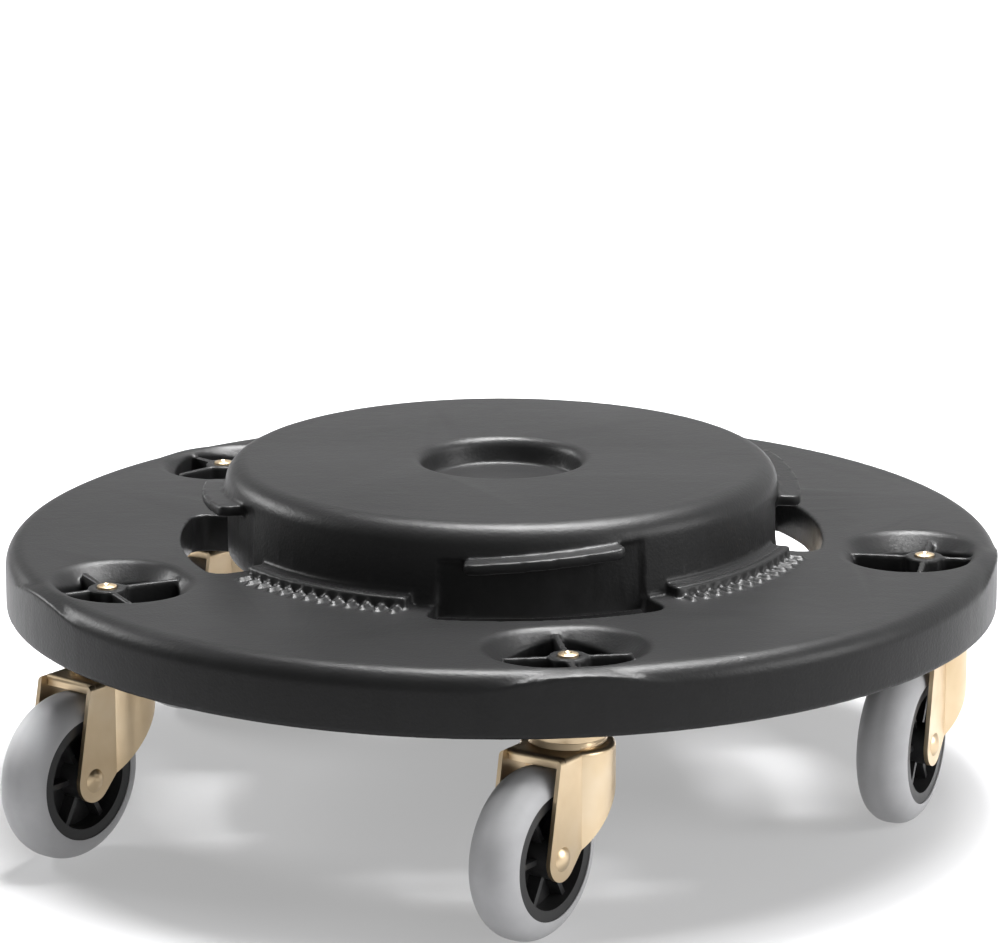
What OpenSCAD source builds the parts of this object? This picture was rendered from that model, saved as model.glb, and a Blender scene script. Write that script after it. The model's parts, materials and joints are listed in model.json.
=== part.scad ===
// Round twist-lock container dolly: a one-piece moulded deck with a raised
// bayonet hub, carried on five stem swivel casters.
// Millimetres, +Z up. The origin is on the floor, on the axis of the deck.

/* [Deck] */
// Radius of the deck
deck_r = 231.5; // [222:0.5:240]
// Height of the deck's flat top above the floor
deck_top_z = 121.5; // [121:0.5:130]
// Height of the rim's lower edge above the floor
deck_bottom_z = 92; // [91.5:0.5:94]
// Moulded wall thickness of plate and rim
deck_wall = 6; // [5:0.5:6.5]
// Rounding of the rim's top edge
rim_round = 9.5; // [6:0.5:11]
// Turn of the whole hub and caster pattern about the axis
pattern_turn = 8.27; // [0:0.01:20]

/* [Hub] */
// Height of the hub's top above the floor
hub_top_z = 158; // [154:0.5:162]
// Radius of the hub where its side meets the deck
hub_r = 130.5; // [128:0.5:132]
// Draft of the hub's side, taken off the radius over its height
hub_draft = 1.5; // [0:0.5:3]
// Rounding of the hub's top edge
hub_round = 11; // [8:0.5:12]
// Radius of the centre recess at the hub's top
recess_r = 37; // [36:0.5:50]
// Depth of the centre recess
recess_depth = 12; // [8:0.5:14]
// Rounding of the recess's lip
recess_lip = 5.5; // [2:0.5:6]

/* [Bayonet] */
// Outer radius of the four upper lugs
lug_r = 139.6; // [137:0.2:141]
// Half the angle that a lug spans
lug_half_angle = 15.4; // [12:0.2:17]
// Height of a lug's top face at mid-length
lug_mid_z = 145.7; // [143:0.1:147]
// Thickness of a lug
lug_thickness = 5; // [4:0.5:6]
// Slope of the lugs' helical ramp in degrees
lug_slope = 3.9; // [2:0.1:5]
// Outer radius of the four openings under the lugs
window_r = 150; // [148:0.5:152]
// Half the angle that an opening spans
window_half_angle = 21.5; // [20:0.5:23]
// Height of the lower edge of the collar round an opening
collar_z = 103.4; // [100:0.2:110]
// Outer radius of the four lower flanges
flange_r = 139.3; // [138:0.1:143]
// Half the angle that a flange spans
flange_half_angle = 19; // [18.5:0.5:21]
// Height of a flange above the deck's top
flange_height = 5.2; // [3:0.2:6]
// Ratchet teeth along each flange
tooth_count = 13; // [9:2:13]
// Angle from one ratchet tooth to the next
tooth_pitch = 2.9; // [2.6:0.1:3]

/* [Caster pockets] */
// Radius of the circle that the caster axes stand on
caster_circle_r = 198.2; // [194:0.2:200]
// Radius of a pocket's well
pocket_r = 27.5; // [26:0.5:28]
// Shift of the well from the caster axis towards the deck's axis
pocket_shift = 5.4; // [3:0.1:6]
// Half the radial width of the dished funnel at the deck's top
funnel_r = 30.5; // [30:0.5:32]
// Half the straight run that makes the funnel wider along the rim
funnel_spread = 6; // [4:0.5:7]
// Shift of the funnel from the caster axis towards the deck's axis
funnel_shift = 7; // [6:0.5:8]
// Depth of the funnel's slope
funnel_depth = 9; // [6:0.5:10]
// Radius of the boss that holds the stem
boss_r = 8.7; // [8:0.1:10]
// Thickness of the four ribs in a pocket
pocket_rib = 2.8; // [2:0.2:4]

/* [Caster] */
// Radius of the wheel
wheel_r = 38.1; // [36:0.1:38.5]
// Width of the tyre
tyre_w = 24.2; // [22:0.2:24.4]
// Rounding of the tyre's shoulders
tyre_shoulder = 10.8; // [8:0.2:11.6]
// Radius of the wheel core
core_r = 28; // [26:0.5:30]
// Distance from the swivel axis to the axle
trail = 27.8; // [26:0.2:29]
// Height of the fork plate's top face
fork_top_z = 82; // [81.5:0.1:82.5]
// Width over the fork's legs
fork_w = 31.6; // [30:0.2:32]
// Sheet thickness of the fork
fork_sheet = 2; // [1.5:0.1:2]
// Radius of the fork's round rear shell
fork_shell_r = 20.7; // [20:0.1:22]
// Radius of the stem that the deck holds
stem_r = 4.5; // [4:0.1:5]
// Radius of the axle rivet
axle_r = 4; // [3:0.1:4.5]

/* [Hidden] */
$fn = 96;
CASTERS = [1 : 5];
PIECES = ["stem", "grip_ring", "top_race", "top_balls", "fork", "bottom_balls",
          "bottom_race", "axle", "bush", "wheel_core", "tyre"];

plastic = [0.20, 0.20, 0.21];
zinc = [0.80, 0.70, 0.55];
steel = [0.72, 0.72, 0.74];
grey_rubber = [0.58, 0.58, 0.58];

// Direction each wheel trails in at rest, in degrees from +X, caster 1 first.
// Caster 1 is at the front, and the numbers go counter-clockwise seen from above.
HEADINGS = [236.2, 246.8, 240, 233, 232.5];

plate_under_z = deck_top_z - deck_wall;
rim_inner_r = deck_r - deck_wall;
hub_wall = 5;
hub_inner_r = hub_r - hub_draft - hub_wall;
hub_under_z = hub_top_z - deck_wall;
recess_floor_z = hub_top_z - recess_depth;
recess_floor_r = recess_r - 1.5;
wall_recess_r = hub_r - 2.5;
wall_recess_half_angle = 21;
window_corner = 8;
lug_corner = 4.5;
collar_wall = 3;
tooth_r = 146.4;
tooth_top_half_w = 0.9;
tooth_height = 2;
tooth_root = 2;
tooth_lean = 0.5;
pocket_wall = 3;
pocket_floor_z = deck_bottom_z + 4;
boss_top_z = deck_top_z - 2.1;
rib_top_z = deck_top_z - 2.5;
pad_r = 33;
pad_w = 17;
pad_fade_w = 22;
pad_fade_h = 8;
pad_round = 1.2;
under_rib = 3;
skirt_r = 108;

axle_z = wheel_r;
fork_gap = fork_w - 2 * fork_sheet;
fork_front = 26;
bend_r = 2.4;
plate_z = fork_top_z - fork_sheet;
raised_z = fork_top_z + 2.5;
raised_r = 17;
top_ball_r = 2;
top_ball_circle = 12.5;
top_ball_z = raised_z + top_ball_r - 0.8;
race_z = raised_z + 2.4;
race_top_z = race_z + 2;
bottom_ball_r = 1.5;
bottom_ball_circle = 7.5;
raised_under_z = fork_top_z;
bottom_ball_z = raised_under_z - bottom_ball_r + 0.6;
bottom_race_z = bottom_ball_z - bottom_ball_r + 0.6;
bottom_race_t = 1.8;
king_r = 4;
bush_r = 6;
snug = 0.03;
running = 0.08;
apart = 0.3;

// ---------- helpers ----------

// Points of an arc about centre c, from angle a0 to a1, in n steps.
function arc(c, r, a0, a1, n) =
    [for (i = [0 : n]) let (a = a0 + (a1 - a0) * i / n) c + r * [cos(a), sin(a)]];

// What a radius takes off a square outer corner whose arc centre is the origin.
module corner_waste(r) {
    difference() {
        square(r + 1);
        circle(r);
    }
}

// Turns what is built at the front, towards -Y, to azimuth a of the pattern.
module at_azimuth(a) {
    rotate([0, 0, pattern_turn + a]) children();
}

// A block between two radii, spanning half_angle each side of the front.
module arc_block(r0, r1, z0, z1, half_angle) {
    rotate([0, 0, -90 - half_angle])
        rotate_extrude(angle = 2 * half_angle)
            translate([r0, z0])
                square([r1 - r0, z1 - z0]);
}

// The same block with its two outer corners rounded.
module rounded_block(r0, r1, z0, z1, half_angle, corner) {
    inner_arc = half_angle - asin(corner / (r1 - corner));
    arc_block(r0, r1, z0, z1, inner_arc);
    arc_block(r0, r1 - corner, z0, z1, half_angle);
    for (side = [-1, 1])
        rotate([0, 0, side * inner_arc])
            translate([0, corner - r1, z0])
                cylinder(r = corner, h = z1 - z0);
}

// Everything below a plane that climbs towards +X, passing through height z.
module below_ramp(z, depth) {
    translate([0, -hub_r, z])
        rotate([0, -lug_slope, 0])
            translate([-70, -30, -depth])
                cube([140, 60, depth]);
}

module ring(r0, r1, z0, z1) {
    difference() {
        translate([0, 0, z0]) cylinder(r = r1, h = z1 - z0);
        translate([0, 0, z0 - 1]) cylinder(r = r0, h = z1 - z0 + 2);
    }
}

// ---------- deck ----------

module disc_profile(edge_round) {
    difference() {
        translate([0, deck_bottom_z]) square([deck_r, deck_top_z - deck_bottom_z]);
        translate([deck_r - edge_round, deck_top_z - edge_round]) corner_waste(edge_round);
        translate([deck_r - 1.5, deck_bottom_z + 1.5]) mirror([0, 1]) corner_waste(1.5);
    }
}

module hub_profile() {
    top_r = hub_r - hub_draft;
    shoulder_z = hub_top_z - hub_round;
    polygon([[0, plate_under_z], [hub_r, plate_under_z], [hub_r, deck_top_z],
             [top_r, shoulder_z], [0, shoulder_z]]);
    translate([0, shoulder_z - 1]) square([top_r - hub_round, hub_round + 1]);
    translate([top_r - hub_round, shoulder_z]) circle(hub_round);
}

module recess_profile() {
    lip_z = hub_top_z - recess_lip;
    polygon([[-1, recess_floor_z], [recess_floor_r, recess_floor_z], [recess_r, lip_z],
             [recess_r, hub_top_z + 1], [-1, hub_top_z + 1]]);
    difference() {
        translate([recess_r - 0.5, lip_z]) square([recess_lip + 0.5, recess_lip + 1]);
        translate([recess_r + recess_lip, lip_z]) circle(recess_lip);
    }
}

module hollow_profile() {
    translate([-1, deck_bottom_z - 1]) square([rim_inner_r + 1, plate_under_z - deck_bottom_z + 1]);
    difference() {
        translate([-1, plate_under_z - 1])
            square([hub_inner_r + 1, hub_under_z - plate_under_z + 1]);
        translate([-2, recess_floor_z - hub_wall]) square([recess_r + hub_wall + 2, 40]);
    }
}

module moulded_disc() {
    rotate_extrude($fn = 180)
        intersection() {
            difference() {
                union() {
                    disc_profile(rim_round);
                    hub_profile();
                }
                hollow_profile();
                recess_profile();
            }
            square([deck_r + 1, hub_top_z + 1]);
        }
}

// The flat top runs out further towards the rim round each pocket, and fades into its rounding.
module pocket_pad() {
    intersection() {
        translate([0, pocket_shift - caster_circle_r, deck_top_z - pad_fade_h])
            cylinder(r1 = pad_r + pad_fade_w, r2 = pad_r, h = pad_fade_h);
        rotate_extrude($fn = 180)
            intersection() {
                disc_profile(pad_round);
                translate([deck_r - pad_w, deck_top_z - pad_fade_h - 1])
                    square([pad_w + 1, pad_fade_h + 2]);
            }
    }
}

// Turns half a profile into a funnel that is wider along the rim than across it.
// The points run from the lower end to the upper end.
module oval_funnel(points) {
    last = len(points) - 1;
    translate([0, funnel_shift - caster_circle_r, 0]) {
        for (side = [-1, 1])
            translate([side * funnel_spread, 0, 0])
                rotate_extrude()
                    polygon(concat([[0, points[last][1]], [0, points[0][1]]], points));
        rotate([90, 0, 90])
            translate([0, 0, -funnel_spread])
                linear_extrude(height = 2 * funnel_spread)
                    polygon(concat(points, [for (i = [last : -1 : 0]) [-points[i][0], points[i][1]]]));
    }
}

module pocket_cup() {
    translate([0, pocket_shift - caster_circle_r, deck_bottom_z])
        cylinder(r = pocket_r + pocket_wall, h = plate_under_z - deck_bottom_z + 1);
    oval_funnel([[funnel_r - funnel_depth, plate_under_z - funnel_depth],
                 [funnel_r + pocket_wall, plate_under_z + 1]]);
}

// The funnel's slope is at 45 degrees and rolls over into the deck's top.
module pocket_well() {
    lip_r = 7;
    lip_centre = [funnel_r + lip_r * tan(22.5), deck_top_z - lip_r + 0.1];
    translate([0, pocket_shift - caster_circle_r, pocket_floor_z])
        cylinder(r = pocket_r, h = deck_top_z - pocket_floor_z + 1);
    oval_funnel(concat([[funnel_r - funnel_depth, deck_top_z - funnel_depth]],
                       arc(lip_centre, lip_r, 135, 95, 5),
                       [[lip_centre[0] - 0.5, deck_top_z + 2]]));
}

module boss_and_ribs() {
    translate([0, -caster_circle_r, deck_bottom_z]) cylinder(r = boss_r, h = boss_top_z - deck_bottom_z);
    intersection() {
        translate([0, -caster_circle_r, 0])
            for (a = [0, 90])
                rotate([0, 0, a])
                    translate([-pocket_r * 1.5, -pocket_rib / 2, pocket_floor_z - 1])
                        cube([pocket_r * 3, pocket_rib, rib_top_z - pocket_floor_z + 1]);
        translate([0, pocket_shift - caster_circle_r, 0])
            cylinder(r = pocket_r + pocket_wall / 2, h = deck_top_z);
    }
}

module stem_bore() {
    translate([0, -caster_circle_r, deck_bottom_z - 1])
        cylinder(r = stem_r + snug, h = deck_top_z - deck_bottom_z + 2);
}

module window() {
    rounded_block(wall_recess_r, window_r, collar_z - 1, deck_top_z + 1, window_half_angle, window_corner);
    arc_block(window_r - 25, wall_recess_r + 0.5, collar_z - 1, plate_under_z, window_half_angle);
}

module wall_recess() {
    intersection() {
        arc_block(wall_recess_r, hub_r + 2, collar_z, hub_top_z, wall_recess_half_angle);
        below_ramp(lug_mid_z - 0.5, 60);
    }
}

module lug() {
    intersection() {
        rounded_block(hub_inner_r + 1, lug_r, deck_top_z, hub_top_z, lug_half_angle, lug_corner);
        below_ramp(lug_mid_z, lug_thickness);
    }
}

module flange() {
    difference() {
        arc_block(hub_r - 2, flange_r, deck_top_z - 1, deck_top_z + flange_height, flange_half_angle);
        arc_block(hub_r + 3, flange_r - 3.5, deck_top_z + flange_height - 1,
                  deck_top_z + flange_height + 1, flange_half_angle - 1);
    }
}

// Blunt radial bars that run out from the flange on the deck's top.
module ratchet() {
    half = (tooth_count - 1) / 2;
    root_half_w = tooth_top_half_w + tooth_lean * (tooth_height + tooth_root);
    for (k = [-half : half])
        rotate([0, 0, k * tooth_pitch])
            translate([0, 0.8 - flange_r, deck_top_z])
                rotate([90, 0, 0])
                    linear_extrude(height = tooth_r - flange_r + 0.8)
                        polygon([[-root_half_w, -tooth_root], [-tooth_top_half_w, tooth_height],
                                 [tooth_top_half_w, tooth_height], [root_half_w, -tooth_root]]);
}

module underside_ribs() {
    ring(window_r + 0.4, window_r + collar_wall, collar_z + 2, plate_under_z + 1);
    ring(skirt_r, skirt_r + under_rib, deck_bottom_z + 5, hub_under_z + 1);
    for (k = [0 : 4])
        for (a = [24, 48])
            at_azimuth(72 * k + a)
                translate([-under_rib / 2, -rim_inner_r - 1, deck_bottom_z + 6])
                    cube([under_rib, rim_inner_r - window_r - 0.6, plate_under_z - deck_bottom_z - 5]);
    for (k = [0 : 7])
        at_azimuth(45 * k + 22.5)
            translate([-under_rib / 2, -hub_inner_r - 1, hub_under_z - 16])
                cube([under_rib, hub_inner_r - recess_r - 3, 17]);
}

module collar() {
    arc_block(window_r - 24, window_r + collar_wall + 0.6, collar_z, plate_under_z + 1,
              window_half_angle + 1.2);
}

module deck() {
    color(plastic)
        difference() {
            union() {
                difference() {
                    union() {
                        moulded_disc();
                        underside_ribs();
                        for (k = [0 : 3]) at_azimuth(90 * k) collar();
                        for (k = [0 : 4]) at_azimuth(72 * k) {
                            pocket_pad();
                            pocket_cup();
                        }
                    }
                    for (k = [0 : 3]) at_azimuth(90 * k) {
                        window();
                        wall_recess();
                    }
                    for (k = [0 : 4]) at_azimuth(72 * k) pocket_well();
                }
                for (k = [0 : 3]) {
                    at_azimuth(90 * k) lug();
                    at_azimuth(90 * k + 45) {
                        flange();
                        ratchet();
                    }
                }
                for (k = [0 : 4]) at_azimuth(72 * k) boss_and_ribs();
            }
            for (k = [0 : 4]) at_azimuth(72 * k) stem_bore();
        }
}

// ---------- caster: +X is the way the wheel trails, +Z the swivel axis ----------

module at_caster(i) {
    at_azimuth(72 * (i - 1))
        translate([0, -caster_circle_r, 0])
            rotate([0, 0, HEADINGS[i - 1] - pattern_turn - 72 * (i - 1)])
                children();
}

module across(z) {
    translate([trail, 0, z]) rotate([90, 0, 0]) children();
}

module torus(circle_r, z, r) {
    rotate_extrude() translate([circle_r, z]) circle(r, $fn = 48);
}

module balls(count, circle_r, z, r) {
    for (k = [1 : count])
        rotate([0, 0, 360 * k / count])
            translate([circle_r, 0, z])
                sphere(r, $fn = 32);
}

module stem() {
    rivet_r = 6;
    rivet_h = 1.8;
    shoulder_r = 8;
    end_z = boss_top_z + 0.6;
    dome_h = 0.9;
    dimple_r = 2.2;
    dimple_h = 0.9;
    dome_r = (stem_r * stem_r + dome_h * dome_h) / (2 * dome_h);
    groove_r = stem_r - 1.1;
    rivet_z = bottom_race_z - bottom_race_t - rivet_h;
    groove_z = boss_top_z - 11;
    color(zinc)
        difference() {
            union() {
                translate([0, 0, rivet_z]) cylinder(r1 = rivet_r - 1.2, r2 = rivet_r, h = rivet_h);
                translate([0, 0, rivet_z + 1]) cylinder(r = king_r, h = race_top_z - rivet_z);
                translate([0, 0, race_top_z])
                    cylinder(r = shoulder_r, h = deck_bottom_z - race_top_z);
                translate([0, 0, deck_bottom_z - 1]) cylinder(r = stem_r, h = end_z - deck_bottom_z + 1);
                intersection() {
                    translate([0, 0, end_z + dome_h - dome_r]) sphere(dome_r);
                    translate([0, 0, end_z - 0.5]) cylinder(r = stem_r, h = dome_h + 1);
                }
            }
            ring(groove_r, stem_r + 1, groove_z, groove_z + 5);
            translate([0, 0, end_z + dome_h - dimple_h]) cylinder(r1 = 0.6, r2 = dimple_r, h = dimple_h + 0.3);
        }
}

module grip_ring() {
    color(steel)
        rotate([0, 0, 15])
            rotate_extrude(angle = 330)
                translate([stem_r - 1.05, boss_top_z - 10.9])
                    square([1.05, 4.8]);
}

module top_race() {
    cap_r = raised_r + apart;
    skirt_z = raised_z + 0.4;
    color(zinc)
        difference() {
            union() {
                translate([0, 0, race_z]) cylinder(r = cap_r - 1, h = race_top_z - race_z);
                translate([0, 0, skirt_z]) cylinder(r = cap_r, h = race_top_z - skirt_z - 1);
                torus(cap_r - 1, race_top_z - 1, 1);
            }
            translate([0, 0, skirt_z - 1]) cylinder(r = cap_r - 1.7, h = race_z - skirt_z + 1);
            torus(top_ball_circle, top_ball_z, top_ball_r + apart + 0.05);
            cylinder(r = king_r + snug, h = 2 * race_top_z);
        }
}

module top_balls() {
    color(steel) balls(14, top_ball_circle, top_ball_z, top_ball_r);
}

module bottom_balls() {
    color(steel) balls(12, bottom_ball_circle, bottom_ball_z, bottom_ball_r);
}

module bottom_race() {
    color(zinc)
        difference() {
            translate([0, 0, bottom_race_z - bottom_race_t])
                cylinder(r1 = 9.6, r2 = 10.4, h = bottom_race_t);
            torus(bottom_ball_circle, bottom_ball_z, bottom_ball_r + apart);
            cylinder(r = king_r + snug, h = 2 * fork_top_z);
        }
}

// Outline of the fork seen from above, inset by one sheet for its inside.
module fork_plan(inset) {
    circle(fork_shell_r - inset);
    translate([0, inset - fork_w / 2]) square([60, fork_w - 2 * inset]);
}

// Side outline of a leg: two tangents to the round foot, and a rounded rear corner.
module leg_outline() {
    foot = [trail, axle_z];
    foot_r = 10;
    front_lean = 11.2;
    rear_lean = 45.5;
    rear_p = -14;
    corner_r = 9;
    front_tangent = foot + foot_r * [cos(front_lean), sin(front_lean)];
    rear_tangent = foot + foot_r * [cos(180 + rear_lean), sin(180 + rear_lean)];
    front_top = front_tangent + (fork_top_z - front_tangent[1]) * [-tan(front_lean), 1];
    corner_centre = [rear_p + corner_r,
                     rear_tangent[1] + (corner_r + (rear_tangent[0] - rear_p - corner_r)
                     * cos(rear_lean)) / sin(rear_lean)];
    polygon(concat([front_top],
                   arc(foot, foot_r, front_lean, rear_lean - 180, 24),
                   arc(corner_centre, corner_r, rear_lean + 180, 180, 8),
                   [[rear_p, fork_top_z]]));
}

// What the pressed sheet's bends leave of the fork's top edges.
module fork_bends() {
    difference() {
        translate([0, -fork_w / 2, 0]) cube([60, fork_w, raised_z]);
        for (side = [0, 1])
            mirror([0, side, 0])
                translate([0, fork_w / 2 - bend_r, fork_top_z - bend_r])
                    rotate([90, 0, 90])
                        linear_extrude(height = 61) corner_waste(bend_r);
        translate([fork_front - bend_r, fork_w, fork_top_z - bend_r])
            rotate([90, 0, 0])
                linear_extrude(height = 2 * fork_w)
                    intersection() {
                        corner_waste(bend_r);
                        square(bend_r);
                    }
    }
    rotate_extrude()
        difference() {
            square([fork_shell_r, fork_top_z]);
            translate([fork_shell_r - bend_r, fork_top_z - bend_r]) corner_waste(bend_r);
        }
    cylinder(r = raised_r, h = raised_z);
}

module fork() {
    lip_w = fork_gap - 1.2;
    lip_h = 4.8;
    color(zinc)
        difference() {
            intersection() {
                union() {
                    intersection() {
                        linear_extrude(height = fork_top_z)
                            difference() {
                                fork_plan(0);
                                fork_plan(fork_sheet);
                            }
                        rotate([90, 0, 0])
                            translate([0, 0, -fork_w])
                                linear_extrude(height = 2 * fork_w) leg_outline();
                    }
                    translate([0, 0, plate_z])
                        linear_extrude(height = fork_sheet)
                            intersection() {
                                fork_plan(0);
                                translate([-fork_w, -fork_w]) square([fork_w + fork_front, 2 * fork_w]);
                            }
                    translate([0, 0, plate_z])
                        cylinder(r1 = raised_r + 1, r2 = raised_r - 0.4, h = raised_z - plate_z);
                    translate([fork_front - fork_sheet, -lip_w / 2, fork_top_z - lip_h])
                        cube([fork_sheet, lip_w, lip_h]);
                }
                fork_bends();
            }
            translate([0, 0, plate_z - 1])
                cylinder(r = raised_r - fork_sheet, h = raised_under_z - plate_z + 1);
            translate([0, 0, plate_z]) cylinder(r = king_r + 1.6, h = 10);
            torus(top_ball_circle, top_ball_z, top_ball_r + 0.05);
            torus(bottom_ball_circle, bottom_ball_z, bottom_ball_r + 0.05);
            across(axle_z) translate([0, 0, -fork_w]) cylinder(r = axle_r + snug, h = 2 * fork_w);
        }
}

module axle() {
    head_r = 5.4;
    head_h = 2.2;
    dome_r = (head_r * head_r + head_h * head_h) / (2 * head_h);
    color(zinc)
        across(axle_z) {
            translate([0, 0, -fork_w / 2]) cylinder(r = axle_r, h = fork_w);
            for (side = [0, 180])
                rotate([side, 0, 0])
                    translate([0, 0, fork_w / 2])
                        intersection() {
                            translate([0, 0, head_h - dome_r]) sphere(dome_r);
                            cylinder(r = head_r + 1, h = head_h + 1);
                        }
        }
}

module bush() {
    bush_w = fork_gap - 0.2;
    color(steel) across(axle_z) ring(axle_r + snug, bush_r, -bush_w / 2, bush_w / 2);
}

module wheel_core() {
    rim_in_r = core_r - 5;
    hub_out_r = 9.5;
    hub_w = fork_gap - 0.8;
    rim_w = tyre_w - 1;
    web_w = 5;
    key_w = 6;
    color([0.10, 0.10, 0.11])
        across(axle_z)
            difference() {
                union() {
                    ring(rim_in_r, core_r, -rim_w / 2, rim_w / 2);
                    ring(core_r - 1, core_r + 2.5, -key_w / 2, key_w / 2);
                    translate([0, 0, -hub_w / 2]) cylinder(r = hub_out_r, h = hub_w);
                    translate([0, 0, -web_w / 2]) cylinder(r = rim_in_r + 1, h = web_w);
                    for (k = [0 : 5])
                        rotate([0, 0, 60 * k])
                            translate([hub_out_r - 1, -1.2, 3 - rim_w / 2])
                                cube([rim_in_r - hub_out_r + 2, 2.4, rim_w - 6]);
                }
                translate([0, 0, -hub_w]) cylinder(r = bush_r + running, h = 2 * hub_w);
            }
}

module tyre() {
    half_w = tyre_w / 2;
    key_w = 6;
    color(grey_rubber)
        across(axle_z)
            rotate_extrude($fn = 128)
                difference() {
                    union() {
                        translate([core_r - 1, -half_w])
                            square([wheel_r - tyre_shoulder - core_r + 1.5, tyre_w]);
                        translate([core_r - 1, tyre_shoulder - half_w])
                            square([wheel_r - core_r + 1, tyre_w - 2 * tyre_shoulder]);
                        for (side = [-1, 1])
                            translate([wheel_r - tyre_shoulder, side * (half_w - tyre_shoulder)])
                                circle(tyre_shoulder);
                    }
                    translate([-50, -50]) square([core_r + 50, 100]);
                    translate([0, -key_w / 2]) square([core_r + 2.5, key_w]);
                }
}

// ---------- assembly ----------

deck();
for (i = CASTERS) {
    id = str("caster_", i, "_");
    at_caster(i) stem();
    at_caster(i) grip_ring();
    at_caster(i) top_race();
    at_caster(i) top_balls();
    at_caster(i) fork();
    at_caster(i) bottom_balls();
    at_caster(i) bottom_race();
    at_caster(i) axle();
    at_caster(i) bush();
    at_caster(i) wheel_core();
    at_caster(i) tyre();
}
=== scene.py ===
import bpy
import json
import math
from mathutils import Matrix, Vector


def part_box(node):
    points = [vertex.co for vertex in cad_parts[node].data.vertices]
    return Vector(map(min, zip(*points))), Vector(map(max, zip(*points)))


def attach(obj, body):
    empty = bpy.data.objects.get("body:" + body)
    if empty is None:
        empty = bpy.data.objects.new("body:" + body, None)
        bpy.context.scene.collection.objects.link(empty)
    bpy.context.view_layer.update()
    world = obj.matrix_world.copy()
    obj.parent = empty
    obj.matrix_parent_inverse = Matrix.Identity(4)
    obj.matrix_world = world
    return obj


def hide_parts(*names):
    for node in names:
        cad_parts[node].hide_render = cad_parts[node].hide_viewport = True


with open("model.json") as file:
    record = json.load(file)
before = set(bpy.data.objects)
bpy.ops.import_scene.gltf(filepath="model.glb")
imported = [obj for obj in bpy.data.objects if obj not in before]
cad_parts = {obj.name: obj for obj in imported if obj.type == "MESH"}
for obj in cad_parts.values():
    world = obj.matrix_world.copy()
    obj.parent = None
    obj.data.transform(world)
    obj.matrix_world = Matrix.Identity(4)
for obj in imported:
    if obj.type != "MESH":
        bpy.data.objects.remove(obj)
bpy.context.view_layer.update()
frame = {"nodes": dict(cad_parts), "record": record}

MM = 0.001
# The point on the axis at the height of the deck's lower edge.
MIDDLE = Vector((0, 0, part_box("deck")[0].z))

DECK_VOXEL = 1.0 * MM
DECK_SMOOTHING = 3
DECK_TRIANGLES = 190000
WELD_DISTANCE = 0.005 * MM

FLOOR_HALF_WIDTH = 12
CAMERA_TARGET = Vector((-0.0007, 0, 0.1509))
CAMERA_DISTANCE = 2.1888
CAMERA_ELEVATION = math.radians(14.17)
CAMERA_LENS = 168.75
CAMERA_SENSOR = 36


# ---------------------------------------------------------------- materials

def set_range(node, low, high, to_low, to_high):
    """Sets a Map Range node to take low..high to to_low..to_high."""
    for key, value in (("From Min", low), ("From Max", high),
                       ("To Min", to_low), ("To Max", to_high)):
        node.inputs[key].default_value = value


class Shader:
    """A Principled material with a few short ways to add nodes."""

    def __init__(self, name, color, roughness, metallic=0.0):
        self.material = bpy.data.materials.new(name)
        self.material.use_nodes = True
        self.tree = self.material.node_tree
        self.bsdf = self.tree.nodes["Principled BSDF"]
        self.bsdf.inputs["Base Color"].default_value = (*color, 1)
        self.bsdf.inputs["Roughness"].default_value = roughness
        self.bsdf.inputs["Metallic"].default_value = metallic
        self.coords = self.tree.nodes.new("ShaderNodeTexCoord").outputs["Object"]
        self.normal = None

    def link(self, source, target):
        self.tree.links.new(source, target)

    def stretched(self, scale):
        mapping = self.tree.nodes.new("ShaderNodeMapping")
        mapping.inputs["Scale"].default_value = scale
        self.link(self.coords, mapping.inputs["Vector"])
        return mapping.outputs["Vector"]

    def noise(self, scale, detail=4.0, roughness=0.5, vector=None, distortion=0.0):
        node = self.tree.nodes.new("ShaderNodeTexNoise")
        node.inputs["Scale"].default_value = scale
        node.inputs["Detail"].default_value = detail
        node.inputs["Roughness"].default_value = roughness
        node.inputs["Distortion"].default_value = distortion
        self.link(vector or self.coords, node.inputs["Vector"])
        return node.outputs["Fac"]

    def remap(self, source, low, high, to_low, to_high):
        node = self.tree.nodes.new("ShaderNodeMapRange")
        set_range(node, low, high, to_low, to_high)
        self.link(source, node.inputs["Value"])
        return node.outputs["Result"]

    def math(self, operation, a, b):
        node = self.tree.nodes.new("ShaderNodeMath")
        node.operation = operation
        for socket, value in zip(node.inputs, (a, b)):
            if isinstance(value, (int, float)):
                socket.default_value = value
            else:
                self.link(value, socket)
        return node.outputs["Value"]

    def ramp(self, source, stops):
        node = self.tree.nodes.new("ShaderNodeValToRGB")
        elements = node.color_ramp.elements
        while len(elements) < len(stops):
            elements.new(0.5)
        for element, (place, color) in zip(elements, stops):
            element.position = place
            element.color = (*color, 1)
        self.link(source, node.inputs["Fac"])
        return node.outputs["Color"]

    def bump(self, height, distance, strength=1.0):
        node = self.tree.nodes.new("ShaderNodeBump")
        node.inputs["Distance"].default_value = distance
        node.inputs["Strength"].default_value = strength
        self.link(height, node.inputs["Height"])
        if self.normal:
            self.link(self.normal, node.inputs["Normal"])
        self.normal = node.outputs["Normal"]
        self.link(self.normal, self.bsdf.inputs["Normal"])

    def set(self, socket, source):
        if isinstance(source, (int, float, tuple)):
            self.bsdf.inputs[socket].default_value = source
        else:
            self.link(source, self.bsdf.inputs[socket])


def grey(value):
    """A grey that is a trace cooler than neutral."""
    return (value, value, value * 1.02)


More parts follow.
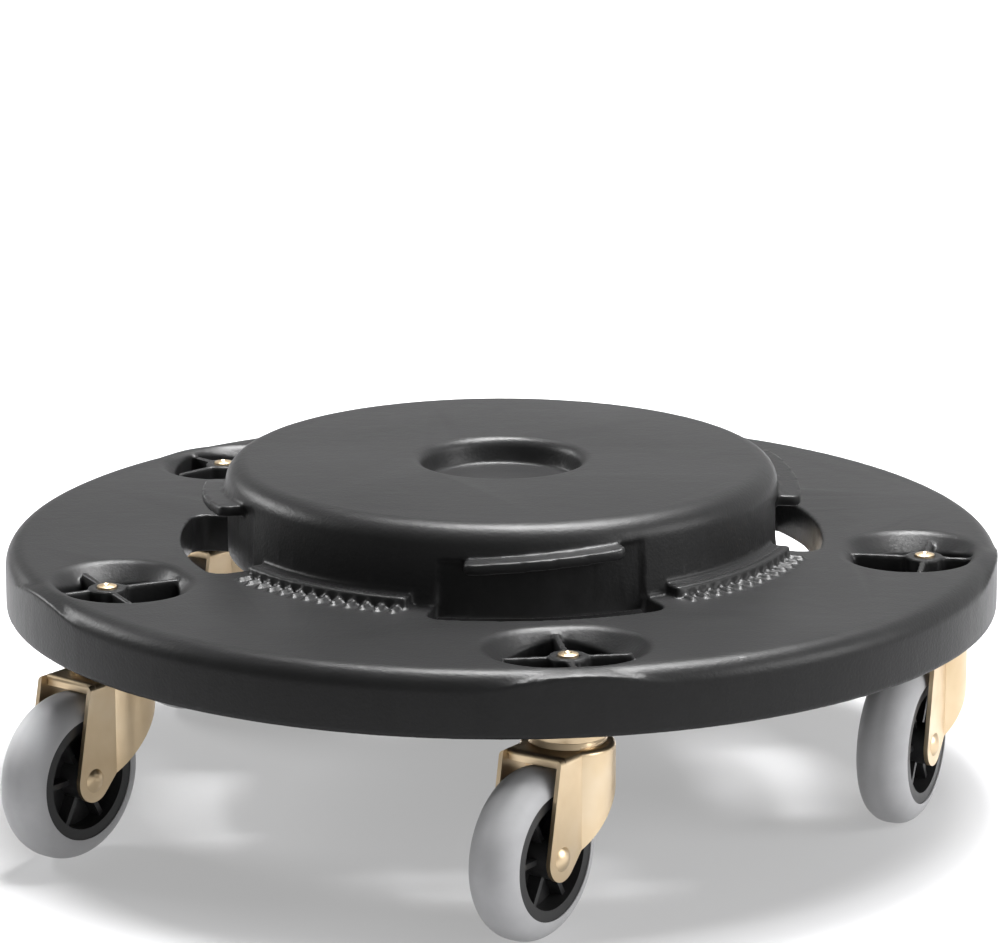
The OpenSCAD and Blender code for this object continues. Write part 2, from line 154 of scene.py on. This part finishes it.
def moulded_plastic():
    """Black polyethylene: pebbled by the mould, with a cloudy sheen and faint scuffs."""
    s = Shader("moulded_plastic", grey(0.012), 0.4)
    s.set("IOR", 1.3)
    clouds = s.noise(9, 6, 0.6, distortion=0.6)
    scuffs = s.noise(60, 8, 0.7, s.stretched((1.0, 5.0, 1.0)), 1.2)
    mixed = s.math("ADD", s.math("MULTIPLY", clouds, 0.7), s.math("MULTIPLY", scuffs, 0.3))
    s.set("Base Color", s.ramp(mixed, [(0.3, grey(0.009)), (0.55, grey(0.012)),
                                       (0.75, grey(0.018))]))
    sheen = s.math("ADD", s.remap(clouds, 0.3, 0.7, 0.36, 0.42),
                   s.remap(scuffs, 0.35, 0.7, -0.02, 0.04))
    s.set("Roughness", sheen)
    s.bump(s.noise(700, 3, 0.5), 0.0002, 0.6)
    s.bump(s.noise(45, 5, 0.55), 0.0005, 0.25)
    return s.material


def core_plastic():
    """Black polypropylene: smoother and shinier than the deck."""
    s = Shader("core_plastic", grey(0.02), 0.35)
    s.set("IOR", 1.4)
    s.set("Roughness", s.remap(s.noise(80, 5), 0.3, 0.7, 0.28, 0.42))
    s.bump(s.noise(1500, 3), 0.00005, 0.4)
    return s.material


def zinc_plate():
    """Pale yellow zinc over pressed steel: satin, with soft warmer and paler patches."""
    s = Shader("zinc_plate", (0.66, 0.53, 0.37), 0.32, 1.0)
    patches = s.noise(35, 3, 0.5)
    s.set("Base Color", s.ramp(patches, [(0.3, (0.60, 0.46, 0.29)), (0.55, (0.68, 0.54, 0.36)),
                                         (0.8, (0.74, 0.62, 0.46))]))
    s.set("Roughness", s.remap(s.noise(150, 4), 0.3, 0.7, 0.30, 0.38))
    s.bump(s.noise(90, 3), 0.0002, 0.2)
    return s.material


def bright_steel():
    """Hardened steel of the balls, bushes and grip rings: bright, a little uneven in gloss."""
    s = Shader("bright_steel", (0.62, 0.62, 0.63), 0.2, 1.0)
    s.set("Roughness", s.remap(s.noise(300, 4), 0.3, 0.7, 0.14, 0.28))
    return s.material


def grey_rubber():
    """Thermoplastic rubber: smooth and matt, with a faintly dusted tread."""
    s = Shader("grey_rubber", grey(0.37), 0.5)
    s.set("IOR", 1.4)
    marks = s.noise(60, 5, 0.55, distortion=0.3)
    s.set("Base Color", s.ramp(marks, [(0.3, grey(0.35)), (0.5, grey(0.37)),
                                       (0.8, grey(0.40))]))
    s.set("Roughness", s.remap(s.noise(200, 4), 0.3, 0.7, 0.46, 0.56))
    s.bump(s.noise(1100, 3), 0.00006, 0.3)
    return s.material


MATERIALS = {
    "black_plastic": moulded_plastic(),
    "core_plastic": core_plastic(),
    "zinc": zinc_plate(),
    "steel": bright_steel(),
    "grey_rubber": grey_rubber(),
}


def paint(obj, slot):
    obj.data.materials.clear()
    obj.data.materials.append(MATERIALS[slot])


# ---------------------------------------------------------------- pieces

def apply_modifiers(obj):
    """Replaces the mesh of obj by what its modifiers make of it, and drops the modifiers."""
    graph = bpy.context.evaluated_depsgraph_get()
    mesh = bpy.data.meshes.new_from_object(obj.evaluated_get(graph))
    obj.modifiers.clear()
    obj.data = mesh


def softened(node, name, voxel, rounds, triangles):
    """A copy of a CAD node as one closed skin whose edges are soft, as they leave the mould.
    It is remeshed at voxel, smoothed in rounds, and thinned to about triangles."""
    source = frame["nodes"][node]
    obj = bpy.data.objects.new(name, source.data.copy())
    bpy.context.scene.collection.objects.link(obj)
    weld = obj.modifiers.new("weld", "WELD")
    weld.merge_threshold = WELD_DISTANCE
    remesh = obj.modifiers.new("remesh", "REMESH")
    remesh.mode = "VOXEL"
    remesh.voxel_size = voxel
    remesh.use_smooth_shade = True
    smooth = obj.modifiers.new("smooth", "SMOOTH")
    smooth.factor = 0.5
    smooth.iterations = rounds
    apply_modifiers(obj)
    thin = obj.modifiers.new("thin", "DECIMATE")
    thin.ratio = min(1.0, triangles / (2 * len(obj.data.polygons)))
    apply_modifiers(obj)
    return obj


def slot_of(node):
    return next(s["material_slot"] for s in frame["record"]["subparts"] if s["node"] == node)


for node, obj in frame["nodes"].items():
    paint(obj, slot_of(node))

deck = softened("deck", "moulded_deck", DECK_VOXEL, DECK_SMOOTHING, DECK_TRIANGLES)
paint(deck, "black_plastic")
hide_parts("deck")
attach(deck, "deck_body")


# ---------------------------------------------------------------- stage

def add_floor():
    """A plain pale table that is also lit faintly from below."""
    half = FLOOR_HALF_WIDTH
    mesh = bpy.data.meshes.new("floor")
    mesh.from_pydata([(-half, -half, 0), (half, -half, 0), (half, half, 0), (-half, half, 0)],
                     [], [(0, 1, 2, 3)])
    floor = bpy.data.objects.new("floor", mesh)
    bpy.context.scene.collection.objects.link(floor)
    s = Shader("light_table", grey(0.28), 0.9)
    s.set("Emission Color", (1, 1, 1, 1))
    s.set("Emission Strength", 0.37)
    floor.data.materials.append(s.material)


def add_softbox(name, toward, distance, size, radiance, aim=MIDDLE, spread=180):
    """A rectangular light that stands in a direction from MIDDLE and faces aim.
    Its size is in metres, and its beam is spread degrees wide."""
    light = bpy.data.lights.new(name, "AREA")
    light.shape = "RECTANGLE"
    light.size, light.size_y = size
    light.energy = radiance * math.pi * size[0] * size[1]
    light.spread = math.radians(spread)
    obj = bpy.data.objects.new(name, light)
    obj.location = MIDDLE + distance * Vector(toward).normalized()
    obj.rotation_euler = (aim - obj.location).to_track_quat("-Z", "Y").to_euler()
    obj.visible_camera = False
    bpy.context.scene.collection.objects.link(obj)


def add_world():
    """A room with a pale band along the horizon, dim above it, and paler on the right."""
    world = bpy.data.worlds.new("studio")
    world.use_nodes = True
    tree = world.node_tree
    background = tree.nodes["Background"]
    split = tree.nodes.new("ShaderNodeSeparateXYZ")
    coords = tree.nodes.new("ShaderNodeTexCoord")
    total = tree.nodes.new("ShaderNodeMath")
    tree.links.new(coords.outputs["Generated"], split.inputs["Vector"])
    horizon_to_ceiling = ("Z", 0.3, 0.6, 0.36, 0.05)
    left_to_right = ("X", -0.9, 0.9, -0.1, 0.36)
    for socket, (axis, *values) in enumerate((horizon_to_ceiling, left_to_right)):
        fade = tree.nodes.new("ShaderNodeMapRange")
        fade.interpolation_type = "SMOOTHSTEP"
        set_range(fade, *values)
        tree.links.new(split.outputs[axis], fade.inputs["Value"])
        tree.links.new(fade.outputs["Result"], total.inputs[socket])
    tree.links.new(total.outputs["Value"], background.inputs["Strength"])
    background.inputs["Color"].default_value = (1, 1, 1, 1)
    bpy.context.scene.world = world


def add_lights():
    """Each softbox: name, direction, distance, size, radiance."""
    add_softbox("key", (0.25, 0.05, 0.95), 1.3, (0.6, 0.5), 38)
    add_softbox("left", (-0.83, 0.38, 0.4), 1.6, (0.75, 0.3), 19)
    add_softbox("right", (0.9, -0.35, 0.36), 1.7, (0.9, 0.6), 9)
    add_softbox("backdrop", (0.0, 1.5, 2.4), 2.83, (0.8, 2.4), 14,
                aim=Vector((0, 1.5, 0)), spread=60)


def add_camera():
    camera = bpy.data.cameras.new("camera")
    camera.lens = CAMERA_LENS
    camera.sensor_width = CAMERA_SENSOR
    camera.clip_end = 50
    obj = bpy.data.objects.new("camera", camera)
    backward = Vector((0, -math.cos(CAMERA_ELEVATION), math.sin(CAMERA_ELEVATION)))
    obj.location = CAMERA_TARGET + CAMERA_DISTANCE * backward
    obj.rotation_euler = (CAMERA_TARGET - obj.location).to_track_quat("-Z", "Y").to_euler()
    bpy.context.scene.collection.objects.link(obj)
    bpy.context.scene.camera = obj


add_floor()
add_world()
add_lights()
add_camera()
bpy.context.scene.view_settings.view_transform = "Standard"
